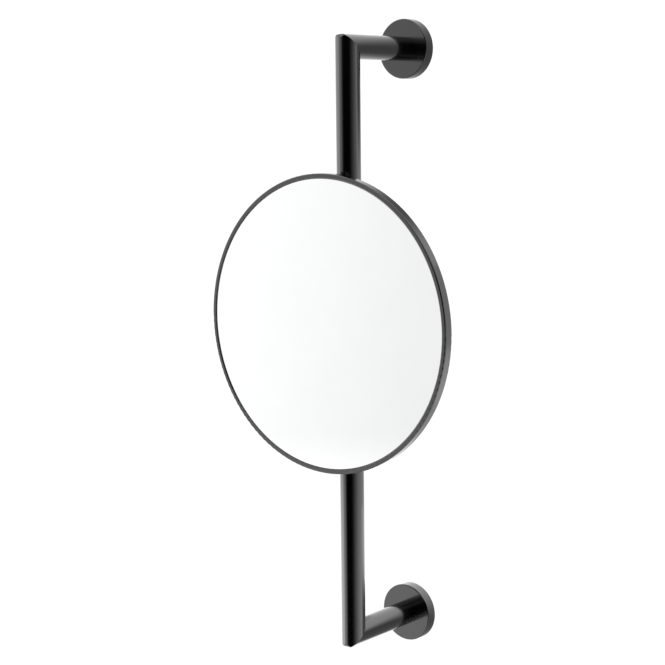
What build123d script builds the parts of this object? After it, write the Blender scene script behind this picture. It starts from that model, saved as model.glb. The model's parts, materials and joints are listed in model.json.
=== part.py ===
from build123d import *
import os

# Wall-mounted makeup mirror: a round disc mirror that slides, swivels and tilts
# on an upright post, which two short arms hold off the wall.
# The origin is on the wall plane, midway between the two wall rosettes.
# +X is to the right of a person facing the mirror, +Y goes into the wall, +Z is up.
# All sizes are in millimetres.

# Frame of round tube
tube_diameter = 16.6
tube_wall = 1.5
arm_spacing = 403.0
wall_to_post = 68.0
elbow_round = 2.6
elbow_bite = 0.05

# Wall rosettes and the plates that they cover
rosette_diameter = 41.0
rosette_depth = 7.8
rosette_wall = 2.2
rosette_edge_round = 0.8
wall_plate_clearance = 0.1
wall_plate_thickness = 2.4
wall_plate_height = 5.0
wall_plate_flange = 2.6
wall_plate_centre_hole = 12.0
wall_screw_spacing = 22.0
wall_screw_hole = 4.5

# Plug in the end of each arm, and the screw that draws the rosette against it
plug_length = 20.0
plug_clearance = 0.05
plug_edge_chamfer = 0.6
arm_screw_diameter = 6.0
arm_screw_grip = 12.0
arm_screw_head_diameter = 10.0
arm_screw_head_height = 3.5
arm_screw_socket = 4.0
arm_screw_socket_depth = 2.0
arm_screw_hole_clearance = 0.2
thread_clearance = 0.03
thread_end_gap = 1.0

# Grub screw that locks each rosette on its wall plate from below
grub_diameter = 3.0
grub_recess = 0.2
grub_seat_depth = 1.0
grub_seat_clearance = 0.1
grub_socket = 1.5
grub_socket_depth = 1.4

# Two-piece sleeve that slides on the post
slide_clearance = 0.05
sleeve_wall = 1.35
sleeve_flange_reach = 1.8
sleeve_flange_thickness = 3.0
snap_ring_height = 1.0
snap_ring_wall = 1.1
snap_ring_clearance = 0.05
snap_ring_gap = 9.0

# Two-piece collar that turns on the sleeve
swivel_clearance = 0.05
collar_end_clearance = 0.2
collar_height = 40.0
collar_wall = 2.55
wing_thickness = 12.0
wing_margin = 3.5
wing_edge_round = 2.0
collar_edge_round = 0.6
collar_screw_land = 1.85
collar_screw_end_margin = 7.0
collar_screw_tip_gap = 1.0

# Tilt hinge between the collar and the mirror head
knuckle_radius = 3.6
knuckle_width = 8.0
knuckle_gap = 0.8
knuckle_neck_height = 5.2
ear_thickness = 3.6
ear_to_bracket_gap = 0.8
tilt_clearance = 0.05
friction_washer_thickness = 0.8
friction_washer_diameter = 6.8
washer_side_gap = 0.1
pin_head_diameter = 5.5
pin_head_height = 2.0
pin_end_reach = 0.5
nut_across_flats = 5.5
nut_height = 2.4
spring_washer_thickness = 0.8
spring_washer_diameter = 5.6
spring_washer_slit = 0.7

# Metric screws of the collar, the tilt hinge and the bracket
small_screw_diameter = 3.0
small_screw_head_diameter = 5.6
small_screw_head_height = 1.3
small_screw_hole_clearance = 0.1
small_screw_socket = 2.0
small_screw_socket_depth = 0.8
pin_socket_depth = 1.2

# Bracket on the back of the mirror head
bracket_diameter = 44.0
bracket_thickness = 1.5
bracket_edge_round = 0.5
bracket_screw_circle = 30.0
bracket_screw_tip_gap = 0.3

# Mirror head
mirror_diameter = 201.0
mirror_height = 18.2
rim_face = 3.2
rim_ledge = 1.2
rim_edge_round = 0.8
rim_inner_round = 0.6
glass_recess = 0.7
glass_thickness = 3.0
glass_clearance = 0.1
glass_edge_chamfer = 0.2
pad_thickness = 0.8
pad_margin = 1.0
back_plate_thickness = 2.5
back_plate_clearance = 0.1

# Radii that stack up outwards from the post
tube_radius = tube_diameter / 2
sleeve_bore = tube_radius + slide_clearance
sleeve_radius = sleeve_bore + sleeve_wall
sleeve_flange_radius = sleeve_radius + sleeve_flange_reach
collar_bore = sleeve_radius + swivel_clearance
collar_radius = collar_bore + collar_wall

# Distances that stack up forwards from the post axis to the back of the mirror
pin_stand_off = collar_radius + knuckle_gap + knuckle_radius
bracket_stand_off = pin_stand_off + knuckle_radius + ear_to_bracket_gap
head_stand_off = bracket_stand_off + bracket_thickness
mirror_thickness = back_plate_thickness + pad_thickness + glass_thickness + glass_recess

# Heights, measured from the middle of the collar
collar_half_height = collar_height / 2
sleeve_shoulder = collar_half_height + collar_end_clearance
sleeve_half_height = sleeve_shoulder + sleeve_flange_thickness

post_y = -wall_to_post
pin_y = post_y - pin_stand_off
head_back_y = post_y - head_stand_off
arm_height = arm_spacing / 2
screw_radius = small_screw_diameter / 2

RIGHT = (1, 0, 0)
LEFT = (-1, 0, 0)
FRONT = (0, -1, 0)
BACK = (0, 1, 0)
UP = (0, 0, 1)
DOWN = (0, 0, -1)


def rod(start, direction, radius, length):
    """Solid cylinder that starts at a point and runs along a direction."""
    centred = (Align.CENTER, Align.CENTER, Align.MIN)
    return Plane(origin=start, z_dir=direction) * Cylinder(radius, length, align=centred)


def sleeve(start, direction, outer_radius, inner_radius, length):
    """Round tube that starts at a point and runs along a direction."""
    return rod(start, direction, outer_radius, length) - rod(start, direction, inner_radius, length)


def block(low, high):
    """Box between two opposite corners."""
    size = [high[i] - low[i] for i in range(3)]
    middle = [(high[i] + low[i]) / 2 for i in range(3)]
    return Pos(*middle) * Box(*size)


def hex_prism(start, direction, across_flats, length):
    """Six-sided prism that starts at a point and runs along a direction."""
    outline = RegularPolygon(across_flats / 2, 6, major_radius=False)
    return extrude(Plane(origin=start, z_dir=direction) * outline, length)


def along(point, direction, distance):
    """Point at a distance from another one along a direction."""
    return tuple(point[i] + direction[i] * distance for i in range(3))


def facing_room(y, z):
    """Plane that looks away from the wall: its x is right, its y up, its z out of the wall."""
    return Plane(origin=(0, y, z), x_dir=RIGHT, z_dir=FRONT)


def front_circles(part, plane, radius, height):
    """Round edges of one radius at one height above a plane."""
    found = []
    for edge in part.edges().filter_by(GeomType.CIRCLE):
        level = plane.to_local_coords(edge.arc_center).Z
        if abs(edge.radius - radius) < 1e-4 and abs(level - height) < 1e-4:
            found.append(edge)
    return found


def group(solids):
    """Several like pieces kept in one node as separate solids."""
    return Compound(children=[Solid(piece.solid().wrapped) for piece in solids])


def countersunk_screw(top, direction, length, grow=0.0):
    """Small countersunk screw, or with grow the hole that clears it."""
    head = small_screw_head_diameter / 2 + grow
    shank = screw_radius + grow
    centred = (Align.CENTER, Align.CENTER, Align.MIN)
    cone = Plane(origin=top, z_dir=direction) * Cone(head, shank, small_screw_head_height, align=centred)
    return cone + rod(top, direction, shank, length)


def socketed_countersunk_screw(top, direction, length):
    """Small countersunk screw with its hexagon socket."""
    socket = hex_prism(top, direction, small_screw_socket, small_screw_socket_depth)
    return countersunk_screw(top, direction, length) - socket


# Frame


def mitre_side(level):
    """Everything on the arm's side of the 45 degree mitre at the upper or lower elbow."""
    reach = 4 * (wall_to_post + tube_diameter)
    rising = 1 if level > 0 else -1
    plane = Plane(origin=(0, post_y, level), x_dir=RIGHT, z_dir=(0, 1, rising))
    return plane * Box(reach, reach, reach, align=(Align.CENTER, Align.CENTER, Align.MIN))


def elbow_corner(level):
    """Material that is dressed off the outer corner of an elbow."""
    rising = 1 if level > 0 else -1
    centre_y = post_y - tube_radius + elbow_round + elbow_bite
    centre_z = level + rising * (tube_radius - elbow_round - elbow_bite)
    outside = elbow_round + tube_wall
    near = (-tube_radius, centre_y - outside, min(centre_z, centre_z + rising * outside))
    far = (tube_radius, centre_y, max(centre_z, centre_z + rising * outside))
    rounding = rod((-tube_radius, centre_y, centre_z), RIGHT, elbow_round, tube_diameter)
    return block(near, far) - rounding


def make_post_tube():
    """Upright tube, mitred at both ends."""
    inner = tube_radius - tube_wall
    end = arm_height + tube_diameter
    tube = sleeve((0, post_y, -end), UP, tube_radius, inner, 2 * end)
    for level in (arm_height, -arm_height):
        tube = tube - mitre_side(level) - elbow_corner(level)
    return tube


def make_arm_tube(level):
    """Level tube from an elbow to the face of its rosette."""
    inner = tube_radius - tube_wall
    length = wall_to_post - rosette_depth + tube_diameter
    tube = sleeve((0, -rosette_depth, level), FRONT, tube_radius, inner, length)
    return (tube & mitre_side(level)) - elbow_corner(level)


def make_arm_plug(level):
    """Threaded plug pressed into the wall end of an arm."""
    radius = tube_radius - tube_wall - plug_clearance
    start = (0, -rosette_depth, level)
    plug = rod(start, FRONT, radius, plug_length)
    end_edge = front_circles(plug, facing_room(0, level), radius, rosette_depth + plug_length)
    plug = chamfer(end_edge, plug_edge_chamfer)
    thread = arm_screw_diameter / 2 + thread_clearance
    return plug - rod(start, FRONT, thread, arm_screw_grip + thread_end_gap)


def make_arm_screw(level):
    """Screw through the rosette into the arm's plug, put in from the wall side."""
    seat = (0, -(rosette_depth - rosette_wall), level)
    head = rod(seat, BACK, arm_screw_head_diameter / 2, arm_screw_head_height)
    shank = rod(seat, FRONT, arm_screw_diameter / 2, rosette_wall + arm_screw_grip)
    top = along(seat, BACK, arm_screw_head_height)
    return head + shank - hex_prism(top, FRONT, arm_screw_socket, arm_screw_socket_depth)


def grub_height():
    """Distance of the grub screw's axis from the wall: half way up the wall plate's edge."""
    return wall_plate_height / 2


def make_rosette(level):
    """Round cup that covers the wall plate."""
    radius = rosette_diameter / 2
    start = (0, 0, level)
    cup = rod(start, FRONT, radius, rosette_depth)
    cup = fillet(front_circles(cup, facing_room(0, level), radius, rosette_depth), rosette_edge_round)
    cup = cup - rod(start, FRONT, radius - rosette_wall, rosette_depth - rosette_wall)
    hole = arm_screw_diameter / 2 + arm_screw_hole_clearance
    cup = cup - rod(start, FRONT, hole, rosette_depth)
    grub_axis = (0, -grub_height(), level)
    return cup - rod(grub_axis, DOWN, grub_diameter / 2 + thread_clearance, radius)


def wall_plate_radius():
    return rosette_diameter / 2 - rosette_wall - wall_plate_clearance


def make_wall_plate(level):
    """Flanged plate that is screwed to the wall and holds the rosette."""
    radius = wall_plate_radius()
    start = (0, 0, level)
    plate = rod(start, FRONT, radius, wall_plate_height)
    hollow_start = (0, -wall_plate_thickness, level)
    plate = plate - rod(hollow_start, FRONT, radius - wall_plate_flange, wall_plate_height)
    plate = plate - rod(start, FRONT, wall_plate_centre_hole / 2, wall_plate_height)
    for side in (-1, 1):
        hole_start = (side * wall_screw_spacing / 2, 0, level)
        plate = plate - rod(hole_start, FRONT, wall_screw_hole / 2, wall_plate_height)
    seat_start = (0, -grub_height(), level - radius + grub_seat_depth + grub_seat_clearance)
    seat = rod(seat_start, DOWN, grub_diameter / 2 + grub_seat_clearance, radius)
    return plate - seat


def make_grub_screw(level):
    """Headless screw, in from below through the rosette's side."""
    start = (0, -grub_height(), level - rosette_diameter / 2 + grub_recess)
    length = rosette_diameter / 2 - grub_recess - wall_plate_radius() + grub_seat_depth
    socket = hex_prism(start, UP, grub_socket, grub_socket_depth)
    return rod(start, UP, grub_diameter / 2, length) - socket


# Slider


def front_half():
    """Everything in front of the post axis, as tall and wide as the sleeve and collar."""
    reach = 2 * head_stand_off
    return block((-reach, post_y - reach, mirror_height - reach - collar_height),
                 (reach, post_y, mirror_height + reach + collar_height))


def ring_groove_base():
    """Height of the lower side of the snap ring's groove, from the middle of the collar."""
    return sleeve_shoulder + (sleeve_flange_thickness - snap_ring_height) / 2


def make_whole_slide_sleeve():
    """Sleeve with a grooved flange at each end, before it is split."""
    low = (0, post_y, mirror_height - sleeve_half_height)
    body = rod(low, UP, sleeve_radius, 2 * sleeve_half_height)
    for rising in (-1, 1):
        direction = (0, 0, rising)
        shoulder = along((0, post_y, mirror_height), direction, sleeve_shoulder)
        body = body + rod(shoulder, direction, sleeve_flange_radius, sleeve_flange_thickness)
        groove = along((0, post_y, mirror_height), direction, ring_groove_base() - snap_ring_clearance)
        groove_height = snap_ring_height + 2 * snap_ring_clearance
        groove_radius = sleeve_flange_radius - snap_ring_wall
        body = body - sleeve(groove, direction, 2 * sleeve_flange_radius, groove_radius, groove_height)
    return body - rod(low, UP, sleeve_bore, 2 * sleeve_half_height)


def make_snap_ring(rising):
    """Open spring ring that clamps the sleeve halves on the post."""
    direction = (0, 0, rising)
    start = along((0, post_y, mirror_height), direction, ring_groove_base())
    inner = sleeve_flange_radius - snap_ring_wall + snap_ring_clearance
    ring = sleeve(start, direction, sleeve_flange_radius, inner, snap_ring_height)
    reach = 2 * sleeve_flange_radius
    opening = block((-snap_ring_gap / 2, post_y, start[2] - snap_ring_height),
                    (snap_ring_gap / 2, post_y + reach, start[2] + snap_ring_height))
    return ring - opening


# Swivel collar


def collar_screw_x():
    """Sideways place of the collar's screws, clear of its bore."""
    return collar_bore + collar_screw_land + screw_radius


def ear_inner_x():
    return knuckle_width / 2 + washer_side_gap + friction_washer_thickness


def ear_outer_x():
    return ear_inner_x() + ear_thickness


def collar_screw_tops():
    """Centres of the four screw heads on the rear half's wings."""
    rise = collar_half_height - collar_screw_end_margin
    y = post_y + wing_thickness / 2
    return [(side * collar_screw_x(), y, mirror_height + step * rise)
            for side in (-1, 1) for step in (-1, 1)]


def make_collar_body():
    """Collar with its side wings, not yet bored, split or drilled."""
    low = (0, post_y, mirror_height - collar_half_height)
    body = rod(low, UP, collar_radius, collar_height)
    reach = collar_screw_x() + wing_margin
    wings = block((-reach, post_y - wing_thickness / 2, mirror_height - collar_half_height),
                  (reach, post_y + wing_thickness / 2, mirror_height + collar_half_height))
    wings = fillet(wings.edges().filter_by(Axis.Z), wing_edge_round)
    body = body + wings
    ends = body.faces().sort_by(Axis.Z)
    rims = ShapeList(ends[0].edges() + ends[-1].edges())
    return fillet(rims, collar_edge_round)


def make_ear(side):
    """One ear of the tilt hinge, from the collar to round the pin."""
    inner = side * ear_inner_x()
    outer = side * ear_outer_x()
    low_x = min(inner, outer)
    neck = block((low_x, pin_y, mirror_height - knuckle_radius),
                 (low_x + ear_thickness, post_y, mirror_height + knuckle_radius))
    return neck + rod((low_x, pin_y, mirror_height), RIGHT, knuckle_radius, ear_thickness)


def make_collar_halves():
    """Front half with the ears, and rear half with the screw heads."""
    low = (0, post_y, mirror_height - collar_half_height)
    body = make_collar_body()
    for side in (-1, 1):
        body = body + make_ear(side)
    body = body - rod(low, UP, collar_bore, collar_height)
    pin_start = (-ear_outer_x(), pin_y, mirror_height)
    body = body - rod(pin_start, RIGHT, screw_radius + tilt_clearance, 2 * ear_outer_x())
    for top in collar_screw_tops():
        body = body - countersunk_screw(top, FRONT, collar_screw_length(), grow=small_screw_hole_clearance)
    front = body & front_half()
    rear = body - front_half()
    return front, rear


def collar_screw_length():
    return wing_thickness - collar_screw_tip_gap


def make_tilt_pin():
    """Screw that the mirror head tilts on."""
    start = (-ear_outer_x(), pin_y, mirror_height)
    reach = 2 * ear_outer_x() + spring_washer_thickness + nut_height + pin_end_reach
    head = rod(start, LEFT, pin_head_diameter / 2, pin_head_height)
    head = fillet(head.edges().filter_by(GeomType.CIRCLE).sort_by(Axis.X)[0], pin_head_height / 2)
    top = along(start, LEFT, pin_head_height)
    socket = hex_prism(top, RIGHT, small_screw_socket, pin_socket_depth)
    return head + rod(start, RIGHT, screw_radius, reach) - socket


def make_spring_washer():
    """Split washer that keeps the tilt hinge under tension."""
    start = (ear_outer_x(), pin_y, mirror_height)
    hole = screw_radius + tilt_clearance
    washer = sleeve(start, RIGHT, spring_washer_diameter / 2, hole, spring_washer_thickness)
    slit = block((start[0], pin_y - spring_washer_slit / 2, mirror_height),
                 (start[0] + spring_washer_thickness, pin_y + spring_washer_slit / 2,
                  mirror_height + spring_washer_diameter))
    return washer - slit


def make_tilt_nut():
    """Thin nut on the tilt pin."""
    start = (ear_outer_x() + spring_washer_thickness, pin_y, mirror_height)
    nut = hex_prism(start, RIGHT, nut_across_flats, nut_height)
    return nut - rod(start, RIGHT, screw_radius + thread_clearance, nut_height)


def make_friction_washer(side):
    """Plastic washer between an ear and the knuckle."""
    start = (side * (ear_inner_x() - friction_washer_thickness), pin_y, mirror_height)
    hole = screw_radius + tilt_clearance
    return sleeve(start, (side, 0, 0), friction_washer_diameter / 2, hole, friction_washer_thickness)


# Mirror head


def bracket_screw_tops():
    """Centres of the four screw heads on the back of the bracket."""
    plane = facing_room(head_back_y + bracket_thickness, mirror_height)
    circle = PolarLocations(bracket_screw_circle / 2, 4, start_angle=45)
    return [tuple(plane.from_local_coords(place.position)) for place in circle]


def make_hinge_bracket():
    """Round plate with the knuckle that turns on the tilt pin."""
    start = (0, head_back_y, mirror_height)
    plate = rod(start, BACK, bracket_diameter / 2, bracket_thickness)
    plane = facing_room(head_back_y, mirror_height)
    rear_edge = front_circles(plate, plane, bracket_diameter / 2, -bracket_thickness)
    plate = fillet(rear_edge, bracket_edge_round)
    half = knuckle_width / 2
    neck = block((-half, head_back_y, mirror_height - knuckle_neck_height / 2),
                 (half, pin_y, mirror_height + knuckle_neck_height / 2))
    knuckle = rod((-half, pin_y, mirror_height), RIGHT, knuckle_radius, knuckle_width)
    bore = rod((-half, pin_y, mirror_height), RIGHT, screw_radius + tilt_clearance, knuckle_width)
    bracket = plate + neck + knuckle - bore
    for top in bracket_screw_tops():
        bracket = bracket - countersunk_screw(top, FRONT, bracket_thickness, grow=small_screw_hole_clearance)
    return bracket


def bracket_screw_length():
    return bracket_thickness + back_plate_thickness - bracket_screw_tip_gap


def make_back_plate():
    """Disc that closes the back of the rim and carries the glass."""
    start = (0, head_back_y, mirror_height)
    radius = mirror_diameter / 2 - rim_face + rim_ledge - back_plate_clearance
    plate = rod(start, FRONT, radius, back_plate_thickness)
    thread = screw_radius + thread_clearance
    for top in bracket_screw_tops():
        plate = plate - rod(top, FRONT, thread, bracket_thickness + back_plate_thickness)
    return plate


def make_rim_ring():
    """Turned ring: its outside is the rim, and its front is the narrow face round the glass."""
    start = (0, head_back_y, mirror_height)
    radius = mirror_diameter / 2
    opening = radius - rim_face
    plane = facing_room(head_back_y, mirror_height)
    ring = rod(start, FRONT, radius, mirror_thickness) - rod(start, FRONT, opening, mirror_thickness)
    ring = ring - rod(start, FRONT, opening + rim_ledge, back_plate_thickness)
    outer = front_circles(ring, plane, radius, mirror_thickness) + front_circles(ring, plane, radius, 0)
    ring = fillet(outer, rim_edge_round)
    return fillet(front_circles(ring, plane, opening, mirror_thickness), rim_inner_round)


def make_glass_pad():
    """Thin adhesive foam disc between the back plate and the glass."""
    start = (0, head_back_y - back_plate_thickness, mirror_height)
    radius = mirror_diameter / 2 - rim_face - glass_clearance - pad_margin
    return rod(start, FRONT, radius, pad_thickness)


def make_mirror_glass():
    """Silvered glass disc, its front set a little behind the rim's face."""
    start = (0, head_back_y - back_plate_thickness - pad_thickness, mirror_height)
    radius = mirror_diameter / 2 - rim_face - glass_clearance
    plane = facing_room(start[1], mirror_height)
    glass = rod(start, FRONT, radius, glass_thickness)
    return chamfer(front_circles(glass, plane, radius, glass_thickness), glass_edge_chamfer)


# Nodes, one file each

nodes = {"post_tube": make_post_tube()}
for name, level in (("upper", arm_height), ("lower", -arm_height)):
    nodes[name + "_arm_tube"] = make_arm_tube(level)
    nodes[name + "_arm_plug"] = make_arm_plug(level)
    nodes[name + "_arm_screw"] = make_arm_screw(level)
    nodes[name + "_rosette"] = make_rosette(level)
    nodes[name + "_wall_plate"] = make_wall_plate(level)
    nodes[name + "_grub_screw"] = make_grub_screw(level)

whole_sleeve = make_whole_slide_sleeve()
nodes["slide_sleeve_front"] = whole_sleeve & front_half()
nodes["slide_sleeve_rear"] = whole_sleeve - front_half()
nodes["upper_snap_ring"] = make_snap_ring(1)
nodes["lower_snap_ring"] = make_snap_ring(-1)

nodes["collar_front"], nodes["collar_rear"] = make_collar_halves()
nodes["collar_screws"] = group(
    [socketed_countersunk_screw(top, FRONT, collar_screw_length()) for top in collar_screw_tops()])
nodes["tilt_pin"] = make_tilt_pin()
nodes["tilt_nut"] = make_tilt_nut()
nodes["tilt_spring_washer"] = make_spring_washer()
nodes["tilt_friction_washers"] = group([make_friction_washer(side) for side in (-1, 1)])

nodes["hinge_bracket"] = make_hinge_bracket()
nodes["bracket_screws"] = group(
    [socketed_countersunk_screw(top, FRONT, bracket_screw_length()) for top in bracket_screw_tops()])
nodes["back_plate"] = make_back_plate()
nodes["rim_ring"] = make_rim_ring()
nodes["glass_pad"] = make_glass_pad()
nodes["mirror_glass"] = make_mirror_glass()

os.makedirs("parts", exist_ok=True)
for name, shape in nodes.items():
    export_step(shape, "parts/" + name + ".step")

print("nodes", len(nodes))
print("post axis to mirror face", round(head_stand_off + mirror_thickness, 3))
print("slide room up", round(arm_height - tube_radius - mirror_height - sleeve_half_height, 3))
print("slide room down", round(arm_height - tube_radius + mirror_height - sleeve_half_height, 3))
print("tilt pin y", round(pin_y, 3), "z", round(mirror_height, 3))
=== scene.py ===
import json
import math
import bpy
from mathutils import Matrix, Vector


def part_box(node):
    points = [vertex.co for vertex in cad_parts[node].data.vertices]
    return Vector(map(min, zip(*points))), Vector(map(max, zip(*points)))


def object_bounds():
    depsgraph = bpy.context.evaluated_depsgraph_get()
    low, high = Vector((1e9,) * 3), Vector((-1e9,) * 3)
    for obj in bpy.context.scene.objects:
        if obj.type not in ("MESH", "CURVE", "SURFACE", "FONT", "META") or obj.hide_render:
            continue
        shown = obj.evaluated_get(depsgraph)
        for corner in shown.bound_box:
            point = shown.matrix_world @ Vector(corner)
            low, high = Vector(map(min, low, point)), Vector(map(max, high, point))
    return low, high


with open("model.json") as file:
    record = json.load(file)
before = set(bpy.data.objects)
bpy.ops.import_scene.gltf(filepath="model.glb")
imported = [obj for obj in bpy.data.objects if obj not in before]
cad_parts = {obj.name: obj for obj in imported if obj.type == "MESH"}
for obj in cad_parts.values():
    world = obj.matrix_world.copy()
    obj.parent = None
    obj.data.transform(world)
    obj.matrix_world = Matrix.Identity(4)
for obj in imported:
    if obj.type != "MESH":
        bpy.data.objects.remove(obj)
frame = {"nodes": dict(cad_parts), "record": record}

cad_low, cad_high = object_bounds()

# Camera, in metres and degrees. The lens is for Blender's 36 mm sensor.
CAMERA_PLACE = (0.6796, -0.9070, 0.1557)
CAMERA_YAW = 39.66
CAMERA_PITCH = -7.678
CAMERA_ROLL = -0.681
CAMERA_LENS = 86.78
CAMERA_NEAR = 0.05
CAMERA_FAR = 20.0

# Floor, in metres
FLOOR_DROP = 1.35
FLOOR_RADIUS = 2.2
FLOOR_SIDES = 96
FLOOR_COLOUR = (0.93, 0.93, 0.925)
FLOOR_ROUGHNESS = 0.8

# Studio surround: brightness by bearing, in degrees to the right of the dark end of the room.
# The dark end leans over, more so on its right side, and the lower part of the room is brighter.
# Reflections and lighting come from it. The camera itself sees a plain backdrop in its place.
HALF_TURN = 180.0
ROOM_DARK_BEARING = 39.66
ROOM_LEAN_LEFT = 0.15
ROOM_LEAN_RIGHT = 1.0
ROOM_LEAN_BEARINGS = (-70.0, 5.0)
ROOM_PEAK = 3.0
ROOM_BEARINGS = (
    (-180, 1.30), (-133, 1.55), (-98, 2.00), (-84, 1.10),
    (-73, 0.92), (-64, 0.55), (-49, 0.05), (-40, 0.0),
    (2, 0.0), (15, 0.05), (34, 0.30), (53, 0.66),
    (75, 1.05), (99, 1.15), (134, 1.10), (180, 1.30),
)
ROOM_ABOVE = 1.35
ROOM_BELOW = 1.25
ROOM_BAND = (22.0, 50.0)
ROOM_LOW_GLOW = 1.55
ROOM_LOW_BAND = (-11.0, -16.0)
BACKDROP = 1.05

# Soft round shade on the wall beside each rosette, in metres, seen only in reflections.
# It glows least in its middle. Each has its drop below the rosette, the reach of its dark middle,
# the reach of its fade and its full glow.
SHADE_RADIUS = 0.12
SHADE_BEHIND_WALL = 0.004
SHADE_ASIDE = 0.048
SHADE_MIDDLE = 0.35
SHADE_SIDES = 48
SHADES = {
    "upper": (0.017, 0.018, 0.092, 1.50),
    "lower": (0.047, 0.040, 0.084, 2.00),
}

# Finishes. The black coats are given as base level, roughness and index of refraction.
MILLIMETRE = 0.001
BLACK_COATS = {
    "black_frame": (0.0018, 0.14, 1.80),
    "black_rim": (0.0025, 0.17, 1.80),
    "black_collar": (0.004, 0.24, 1.70),
}
SILVER_DARK = (0.925, 0.93, 0.93, 1.0)
SILVER_LIGHT = (0.94, 0.945, 0.945, 1.0)
GLASS_EDGE = (0.55, 0.66, 0.62, 1.0)
ZINC = (0.62, 0.64, 0.66, 1.0)
LATHE_RINGS = 2600.0
NOISE_RANGE = (0.3, 0.7)
NOISE_WIDE = (0.25, 0.75)
CELL_RANGE = (0.0, 0.8)


class Shader:
    """Small helper that adds and links the nodes of one material or world."""

    def __init__(self, tree):
        self.tree = tree

    def add(self, kind, inputs=None, **settings):
        node = self.tree.nodes.new(kind)
        for key, value in settings.items():
            setattr(node, key, value)
        for key, value in (inputs or {}).items():
            self.put(node, key, value)
        return node

    def put(self, node, key, value):
        if isinstance(value, bpy.types.NodeSocket):
            self.tree.links.new(value, node.inputs[key])
        else:
            node.inputs[key].default_value = value

    def math(self, operation, first, second=None, third=None):
        inputs = {0: first}
        if second is not None:
            inputs[1] = second
        if third is not None:
            inputs[2] = third
        return self.add("ShaderNodeMath", inputs, operation=operation).outputs[0]

    def vector(self, operation, first, second=None):
        inputs = {0: first}
        if second is not None:
            inputs[1] = second
        return self.add("ShaderNodeVectorMath", inputs, operation=operation)

    def span(self, value, low, high, new_low, new_high, smooth=False):
        """Value carried from one range to another."""
        kind = "SMOOTHSTEP" if smooth else "LINEAR"
        inputs = {"Value": value, "From Min": low, "From Max": high}
        inputs.update({"To Min": new_low, "To Max": new_high})
        return self.add("ShaderNodeMapRange", inputs, interpolation_type=kind).outputs[0]

    def blend(self, share, first, second):
        """Mix of two numbers, by the Mix node's number sockets."""
        return self.add("ShaderNodeMix", {0: share, 2: first, 3: second}).outputs[0]

    def mix(self, share, first, second):
        """Mix of two colours, by the Mix node's colour sockets."""
        node = self.add("ShaderNodeMix", data_type="RGBA")
        self.put(node, 0, share)
        self.put(node, 6, first)
        self.put(node, 7, second)
        return node.outputs[2]

    def noise(self, place, scale, detail=2.0, rough=0.5):
        inputs = {"Vector": place, "Scale": scale, "Detail": detail, "Roughness": rough}
        return self.add("ShaderNodeTexNoise", inputs).outputs["Fac"]

    def bump(self, height, strength, distance, normal=None):
        inputs = {"Height": height, "Strength": strength, "Distance": distance}
        if normal is not None:
            inputs["Normal"] = normal
        return self.add("ShaderNodeBump", inputs).outputs["Normal"]


def grey(level, blue=0.0):
    """Grey as a colour, with a little more blue if asked."""
    return (level, level, level + blue, 1.0)


def make_camera():
    """The photograph's camera."""
    yaw, pitch, roll = (math.radians(a) for a in (CAMERA_YAW, CAMERA_PITCH, CAMERA_ROLL))
    flat = math.cos(pitch)
    ahead = Vector((-math.sin(yaw) * flat, math.cos(yaw) * flat, math.sin(pitch)))
    level_right = Vector((math.cos(yaw), math.sin(yaw), 0.0))
    level_up = level_right.cross(ahead)
    right = math.cos(roll) * level_right + math.sin(roll) * level_up
    up = math.cos(roll) * level_up - math.sin(roll) * level_right
    turn = Matrix((right, up, -ahead)).transposed()
    data = bpy.data.cameras.new("camera")
    data.lens = CAMERA_LENS
    data.clip_start = CAMERA_NEAR
    data.clip_end = CAMERA_FAR
    camera = bpy.data.objects.new("camera", data)
    bpy.context.collection.objects.link(camera)
    camera.matrix_world = Matrix.Translation(CAMERA_PLACE) @ turn.to_4x4()
    bpy.context.scene.camera = camera


def make_floor():
    """Round pale floor, well under the wall-hung object."""
    steps = [2 * math.pi * i / FLOOR_SIDES for i in range(FLOOR_SIDES)]
    level = cad_low.z - FLOOR_DROP
    rim = [(FLOOR_RADIUS * math.cos(a), FLOOR_RADIUS * math.sin(a), level) for a in steps]
    mesh = bpy.data.meshes.new("floor")
    mesh.from_pydata(rim, [], [tuple(range(FLOOR_SIDES))])
    floor = bpy.data.objects.new("floor", mesh)
    bpy.context.collection.objects.link(floor)
    material = bpy.data.materials.new("floor")
    material.use_nodes = True
    bsdf = material.node_tree.nodes["Principled BSDF"]
    bsdf.inputs["Base Color"].default_value = (*FLOOR_COLOUR, 1.0)
    bsdf.inputs["Roughness"].default_value = FLOOR_ROUGHNESS
    floor.data.materials.append(material)


def make_wall_shade(name, level, flat, fade, full):
    """Soft round shade on the wall beside a rosette: an emitting disc, darker in its middle."""
    steps = [2 * math.pi * i / SHADE_SIDES for i in range(SHADE_SIDES)]
    rim = [(SHADE_RADIUS * math.cos(a), 0.0, SHADE_RADIUS * math.sin(a)) for a in steps]
    mesh = bpy.data.meshes.new(name)
    mesh.from_pydata(rim, [], [tuple(range(SHADE_SIDES))])
    shade = bpy.data.objects.new(name, mesh)
    bpy.context.collection.objects.link(shade)
    shade.location = (SHADE_ASIDE, SHADE_BEHIND_WALL, level)
    material = bpy.data.materials.new(name)
    material.use_nodes = True
    material.node_tree.nodes.clear()
    s = Shader(material.node_tree)
    place = s.add("ShaderNodeTexCoord").outputs["Object"]
    away = s.vector("LENGTH", place).outputs["Value"]
    glow = s.span(away, flat, fade, SHADE_MIDDLE, full, smooth=True)
    light = s.add("ShaderNodeEmission", {"Color": grey(1.0), "Strength": glow})
    out = s.add("ShaderNodeOutputMaterial")
    s.put(out, "Surface", light.outputs[0])
    mesh.materials.append(material)
    shade.visible_camera = False
    shade.visible_shadow = False
    shade.visible_diffuse = False


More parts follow.
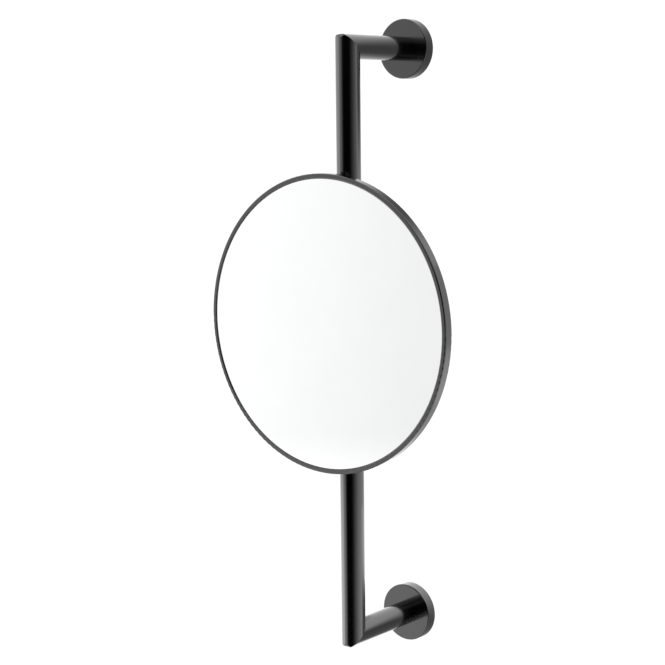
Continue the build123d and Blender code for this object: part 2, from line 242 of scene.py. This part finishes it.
def make_room():
    """White studio, brightest on the left, with a dark end behind the camera."""
    world = bpy.data.worlds.new("room")
    bpy.context.scene.world = world
    world.use_nodes = True
    world.node_tree.nodes.clear()
    s = Shader(world.node_tree)
    place = s.add("ShaderNodeTexCoord").outputs["Generated"]
    parts = s.add("ShaderNodeSeparateXYZ", {"Vector": place}).outputs
    degree = HALF_TURN / math.pi
    front = s.math("MULTIPLY", parts["Y"], -1.0)
    bearing = s.math("MULTIPLY", s.math("ARCTAN2", parts["X"], front), degree)
    height = s.math("MULTIPLY", s.math("ARCSINE", parts["Z"]), degree)
    level_bearing = s.math("WRAP", s.math("SUBTRACT", bearing, ROOM_DARK_BEARING), HALF_TURN, -HALF_TURN)
    lean = s.span(level_bearing, *ROOM_LEAN_BEARINGS, ROOM_LEAN_LEFT, ROOM_LEAN_RIGHT, smooth=True)
    turned = s.math("SUBTRACT", level_bearing, s.math("MULTIPLY", height, lean))
    turned = s.math("WRAP", turned, HALF_TURN, -HALF_TURN)
    share = s.span(turned, -HALF_TURN, HALF_TURN, 0.0, 1.0)
    ramp = s.add("ShaderNodeValToRGB", {"Fac": share})
    ramp.color_ramp.interpolation = "EASE"
    stops = ramp.color_ramp.elements
    while len(stops) < len(ROOM_BEARINGS):
        stops.new(0.5)
    for stop, (angle, level) in zip(stops, ROOM_BEARINGS):
        stop.position = (angle + HALF_TURN) / (2 * HALF_TURN)
        stop.color = grey(level / ROOM_PEAK)
    around = s.math("MULTIPLY", ramp.outputs["Color"], ROOM_PEAK)
    above = s.span(height, *ROOM_BAND, 0.0, 1.0, smooth=True)
    below = s.span(height, -ROOM_BAND[0], -ROOM_BAND[1], 0.0, 1.0, smooth=True)
    level = s.blend(above, around, ROOM_ABOVE)
    glow = s.span(height, *ROOM_LOW_BAND, 1.0, ROOM_LOW_GLOW, smooth=True)
    level = s.math("MULTIPLY", level, glow)
    level = s.blend(below, level, ROOM_BELOW)
    seen = s.add("ShaderNodeLightPath").outputs["Is Camera Ray"]
    strength = s.blend(seen, level, BACKDROP)
    light = s.add("ShaderNodeBackground", {"Color": grey(1.0), "Strength": strength})
    out = s.add("ShaderNodeOutputWorld")
    s.put(out, "Surface", light.outputs[0])
    bpy.context.scene.view_settings.view_transform = "Standard"


def new_material(name):
    """New material, its node helper, its shader and the place on the object."""
    material = bpy.data.materials.new(name)
    material.use_nodes = True
    s = Shader(material.node_tree)
    bsdf = material.node_tree.nodes["Principled BSDF"]
    place = s.add("ShaderNodeTexCoord").outputs["Object"]
    return material, s, bsdf, place


def edge_share(s, radius, reach):
    """0 on flat faces and 1 on sharp outer or inner edges, from a rounded copy of the normal."""
    rounded = s.add("ShaderNodeBevel", {"Radius": radius}, samples=6).outputs[0]
    true = s.add("ShaderNodeNewGeometry").outputs["Normal"]
    dot = s.vector("DOT_PRODUCT", rounded, true).outputs["Value"]
    return s.span(dot, 1.0, 1.0 - reach, 0.0, 1.0)


def black_coat(name, level, rough, ior, spin=None):
    """Black coating: fine orange peel, faint cloudiness, edges lightened by wear and painted highlight
    and, round spin, lathe rings.
    """
    material, s, bsdf, place = new_material(name)
    cloud = s.noise(place, scale=22.0, detail=3.0)
    peel = s.noise(place, scale=900.0, detail=2.0, rough=0.45)
    grit = s.noise(place, scale=5200.0, detail=1.0)
    edge = edge_share(s, radius=0.35 * MILLIMETRE, reach=0.12)
    # Edges lightened towards a pale grey, partly rubbed wear and partly painted highlight; the same mask
    # also roughens them.
    worn_edge_and_highlight = s.math("MULTIPLY", edge, s.span(cloud, 0.35, 0.7, 0.25, 1.0))
    share = s.span(cloud, *NOISE_RANGE, 0.0, 1.0)
    deep = s.mix(share, grey(level * 0.8), grey(level * 1.25, level * 0.06))
    bsdf.inputs["IOR"].default_value = ior
    s.put(bsdf, "Base Color", s.mix(s.math("MULTIPLY", worn_edge_and_highlight, 0.6), deep, grey(level * 5)))
    patches = s.span(cloud, *NOISE_RANGE, rough - 0.02, rough + 0.02)
    specks = s.span(grit, *NOISE_RANGE, -0.012, 0.012)
    tone = s.math("ADD", patches, specks)
    s.put(bsdf, "Roughness", s.math("ADD", tone, s.math("MULTIPLY", worn_edge_and_highlight, 0.05)))
    normal = s.bump(peel, strength=0.05, distance=0.05 * MILLIMETRE)
    if spin is not None:
        rings = spin_lines(s, place, spin)
        normal = s.bump(rings, strength=0.10, distance=0.02 * MILLIMETRE, normal=normal)
    s.put(bsdf, "Normal", normal)
    return material


def spin_lines(s, place, centre):
    """Fine rings that a lathe leaves round an axis along Y through the centre."""
    moved = s.vector("SUBTRACT", place, centre).outputs["Vector"]
    flat = s.vector("MULTIPLY", moved, (1.0, 0.0, 1.0)).outputs["Vector"]
    radius = s.vector("LENGTH", flat).outputs["Value"]
    inputs = {"W": s.math("MULTIPLY", radius, LATHE_RINGS), "Scale": 1.0, "Detail": 3.0}
    return s.add("ShaderNodeTexNoise", inputs, noise_dimensions="1D").outputs["Fac"]


def bare_metal(name, colour, rough, edge_wear_and_highlight_colour):
    """Plated or blackened steel with fine scratches and brighter edges, partly wear and partly painted
    highlight.
    """
    material, s, bsdf, place = new_material(name)
    cloud = s.noise(place, scale=160.0, detail=3.0)
    drawn = s.add("ShaderNodeMapping", {"Vector": place, "Scale": (1.0, 1.0, 9.0)}).outputs[0]
    streak = s.noise(drawn, scale=900.0, detail=3.0)
    dull = [c * 0.85 for c in colour[:3]] + [1.0]
    base = s.mix(s.span(cloud, *NOISE_RANGE, 0.0, 1.0), dull, colour)
    edge = edge_share(s, radius=0.15 * MILLIMETRE, reach=0.15)
    bsdf.inputs["Metallic"].default_value = 1.0
    # Edges mixed towards a paler colour, partly worn plating and partly painted highlight.
    s.put(bsdf, "Base Color", s.mix(s.math("MULTIPLY", edge, 0.7), base, edge_wear_and_highlight_colour))
    s.put(bsdf, "Roughness", s.span(streak, *NOISE_WIDE, rough - 0.06, rough + 0.08))
    s.put(bsdf, "Normal", s.bump(streak, strength=0.12, distance=0.02 * MILLIMETRE))
    return material


def moulded_plastic(name, level, rough):
    """Black nylon with a fine spark-eroded grain."""
    material, s, bsdf, place = new_material(name)
    cloud = s.noise(place, scale=90.0, detail=2.0)
    grain = s.noise(place, scale=2600.0, detail=3.0, rough=0.6)
    share = s.span(cloud, *NOISE_RANGE, 0.0, 1.0)
    s.put(bsdf, "Base Color", s.mix(share, grey(level * 0.8), grey(level * 1.3)))
    s.put(bsdf, "Roughness", s.span(grain, *NOISE_WIDE, rough - 0.05, rough + 0.08))
    s.put(bsdf, "Normal", s.bump(grain, strength=0.2, distance=0.03 * MILLIMETRE))
    return material


def foam(name, level):
    """Closed-cell adhesive foam."""
    material, s, bsdf, place = new_material(name)
    cells = s.add("ShaderNodeTexVoronoi", {"Vector": place, "Scale": 2200.0}).outputs["Distance"]
    share = s.span(cells, *CELL_RANGE, 0.0, 1.0)
    s.put(bsdf, "Base Color", s.mix(share, grey(level * 0.6), grey(level * 1.3)))
    s.put(bsdf, "Roughness", s.span(cells, *CELL_RANGE, 0.75, 0.9))
    s.put(bsdf, "Normal", s.bump(cells, strength=0.4, distance=0.05 * MILLIMETRE))
    return material


def silvered_glass(name):
    """Mirror: silver behind clear glass, with a barely wavy surface and the faintest haze."""
    material, s, bsdf, place = new_material(name)
    haze = s.noise(place, scale=35.0, detail=4.0, rough=0.6)
    dust = s.noise(place, scale=1400.0, detail=2.0)
    edge = edge_share(s, radius=0.25 * MILLIMETRE, reach=0.2)
    silver = s.mix(s.span(haze, *NOISE_RANGE, 0.0, 1.0), SILVER_DARK, SILVER_LIGHT)
    bsdf.inputs["Metallic"].default_value = 1.0
    bsdf.inputs["Coat Weight"].default_value = 0.4
    bsdf.inputs["Coat Roughness"].default_value = 0.01
    s.put(bsdf, "Base Color", s.mix(s.math("MULTIPLY", edge, 0.6), silver, GLASS_EDGE))
    patches = s.span(haze, 0.45, 0.8, 0.006, 0.022)
    specks = s.span(dust, 0.6, 0.8, 0.0, 0.01)
    s.put(bsdf, "Roughness", s.math("ADD", patches, specks))
    wave = s.noise(place, scale=9.0, detail=1.0)
    s.put(bsdf, "Normal", s.bump(wave, strength=0.02, distance=0.05 * MILLIMETRE))
    return material


def dress_nodes():
    """Every node takes the finish of its record slot."""
    mirror_low, mirror_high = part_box("rim_ring")
    centre = tuple((mirror_low + mirror_high) / 2)
    spins = {"black_rim": centre}
    finishes = {
        slot: black_coat(slot + "_coat", *coat, spin=spins.get(slot)) for slot, coat in BLACK_COATS.items()
    }
    finishes.update({
        "black_screw": bare_metal("blackened_steel", grey(0.06, 0.004), 0.34, grey(0.30)),
        "spring_steel": bare_metal("spring_steel", grey(0.45, 0.01), 0.28, grey(0.70)),
        "zinc_steel": bare_metal("zinc_plated_steel", ZINC, 0.32, grey(0.80)),
        "nylon": moulded_plastic("black_nylon", 0.02, 0.42),
        "foam_pad": foam("adhesive_foam", 0.05),
        "mirror_glass": silvered_glass("silvered_glass"),
    })
    slots = {part["node"]: part["material_slot"] for part in frame["record"]["subparts"]}
    for name, node in frame["nodes"].items():
        node.data.materials.clear()
        node.data.materials.append(finishes[slots[name]])


make_camera()
make_floor()
make_room()
for end, (drop, flat, fade, full) in SHADES.items():
    low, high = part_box(end + "_rosette")
    make_wall_shade(end + "_wall_shade", (low.z + high.z) / 2 - drop, flat, fade, full)
dress_nodes()
